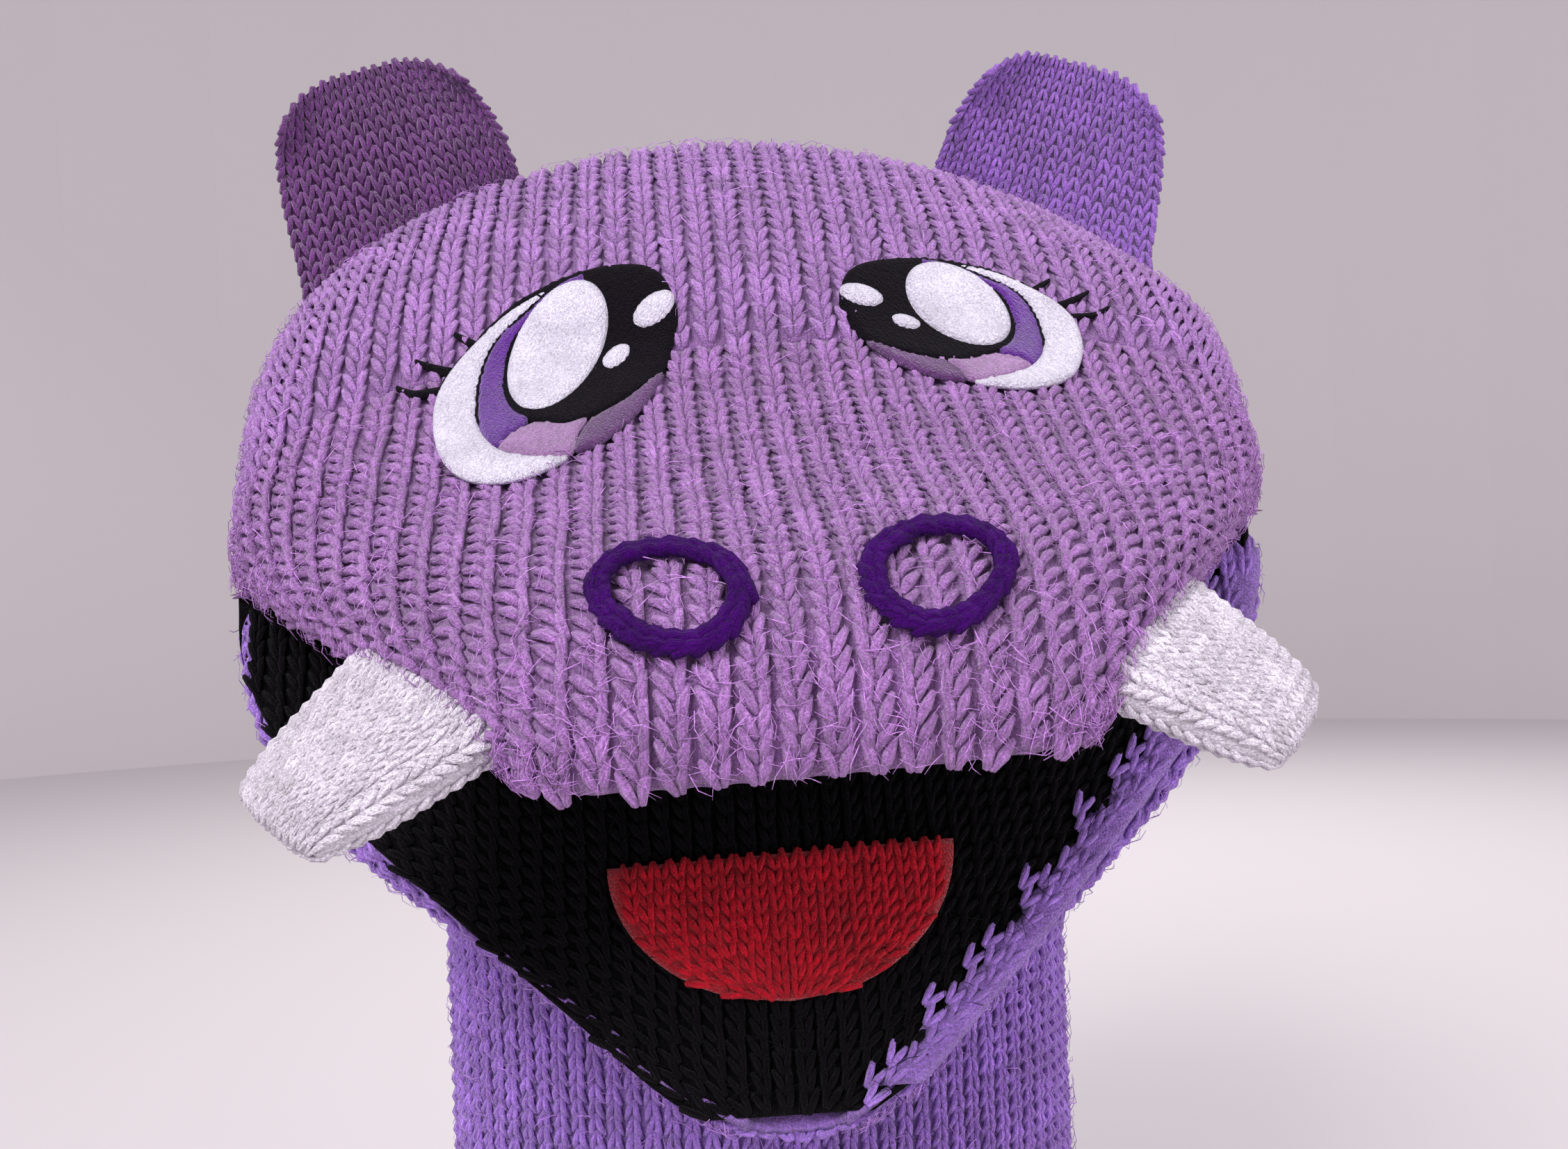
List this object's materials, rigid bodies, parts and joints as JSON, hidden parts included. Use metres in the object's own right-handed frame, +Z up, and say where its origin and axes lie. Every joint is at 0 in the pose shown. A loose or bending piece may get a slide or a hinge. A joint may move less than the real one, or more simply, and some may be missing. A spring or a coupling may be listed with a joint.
{
  "type": "moving mouth hand puppet",
  "caption": "Knitted hippo hand puppet: a forearm sleeve and a soft head whose jaws the fingers and thumb open and close, with sewn-on ears and stuffed teeth.",
  "frame": {"origin": "middle of the sleeve's arm opening, in the plane of the hem's lower edge", "axes": "+Z up the sleeve towards the head; the face looks along -Y; +X is to the right of someone who faces the puppet"},
  "size_m": [0.19, 0.1688, 0.292],
  "materials": {
    "sleeve_knit": "1x1 rib knit in purple acrylic yarn, matt with a faint sparkle",
    "head_knit": "1x1 rib knit in purple acrylic yarn, stretched open, matt with a faint sparkle",
    "muzzle_knit": "1x1 rib knit in purple acrylic yarn, matt with a faint sparkle",
    "ear_knit": "stockinette knit in purple acrylic yarn, matt and fuzzy",
    "mouth_lining": "fine black knit, matt, with stray fibres",
    "tongue_knit": "stockinette knit in red acrylic yarn, matt",
    "tooth_knit": "stockinette knit in white acrylic yarn, matt",
    "stuffing": "white polyester fibre, matt",
    "nostril_yarn": "thick dark purple yarn, matt",
    "eye_white_thread": "white embroidery thread, satin",
    "eye_iris_thread": "purple embroidery thread, satin",
    "eye_black_thread": "black embroidery thread, satin"
  },
  "bodies": {
    "sleeve": {"sleeve_back_knit": "sleeve_knit", "sleeve_front_knit": "sleeve_knit", "hem_band": "sleeve_knit", "side_seam_left": "sleeve_knit", "side_seam_right": "sleeve_knit"},
    "neck": {"neck_back_knit": "sleeve_knit", "neck_front_knit": "sleeve_knit"},
    "head": {"crown_knit": "head_knit", "throat_knit": "sleeve_knit", "eye_white_left": "eye_white_thread", "eye_iris_left": "eye_iris_thread", "eye_pupil_left": "eye_black_thread", "eye_white_right": "eye_white_thread", "eye_iris_right": "eye_iris_thread", "eye_pupil_right": "eye_black_thread"},
    "upper_jaw": {"muzzle_knit": "muzzle_knit", "palate_lining": "mouth_lining", "nostril_left": "nostril_yarn", "nostril_right": "nostril_yarn"},
    "lower_jaw": {"chin_knit": "sleeve_knit", "lower_mouth_lining": "mouth_lining", "tongue_knit": "tongue_knit"},
    "ear_left": {"ear_front_left": "ear_knit", "ear_back_left": "ear_knit"},
    "tooth_left": {"tooth_cover_left": "tooth_knit", "tooth_stuffing_left": "stuffing"},
    "ear_right": {"ear_front_right": "ear_knit", "ear_back_right": "ear_knit"},
    "tooth_right": {"tooth_cover_right": "tooth_knit", "tooth_stuffing_right": "stuffing"}
  },
  "joints": [
    {"name": "neck_turn", "type": "hinge", "parent": "sleeve", "child": "neck", "pos_m": [0, 0, 0.0935], "axis": [0, 0, 1], "range_deg": [-35, 35]},
    {"name": "head_nod", "type": "hinge", "parent": "neck", "child": "head", "pos_m": [0, 0, 0.1203], "axis": [1, 0, 0], "range_deg": [-20, 20]},
    {"name": "upper_jaw_lift", "type": "hinge", "parent": "head", "child": "upper_jaw", "pos_m": [0, -0.04, 0.1843], "axis": [-1, 0, 0], "range_deg": [-4, 18]},
    {"name": "lower_jaw_close", "type": "hinge", "parent": "head", "child": "lower_jaw", "pos_m": [0, -0.04, 0.1843], "axis": [-1, 0, 0], "range_deg": [-4, 37]},
    {"name": "ear_left_fold", "type": "hinge", "parent": "head", "child": "ear_left", "pos_m": [-0.0664, 0.0032, 0.2516], "axis": [0.7905, 0.3389, 0.5101], "range_deg": [-18, 18], "stiffness_Nm_per_rad": 0.01},
    {"name": "tooth_left_swing", "type": "hinge", "parent": "upper_jaw", "child": "tooth_left", "pos_m": [-0.0549, -0.0984, 0.1662], "axis": [-0.5491, 0.7803, 0.2995], "range_deg": [-8, 12], "stiffness_Nm_per_rad": 0.01},
    {"name": "ear_right_fold", "type": "hinge", "parent": "head", "child": "ear_right", "pos_m": [0.0664, 0.0032, 0.2516], "axis": [0.7905, -0.3389, -0.5101], "range_deg": [-18, 18], "stiffness_Nm_per_rad": 0.01},
    {"name": "tooth_right_swing", "type": "hinge", "parent": "upper_jaw", "child": "tooth_right", "pos_m": [0.0549, -0.0984, 0.1662], "axis": [-0.5491, -0.7803, -0.2995], "range_deg": [-8, 12], "stiffness_Nm_per_rad": 0.01}
  ]
}
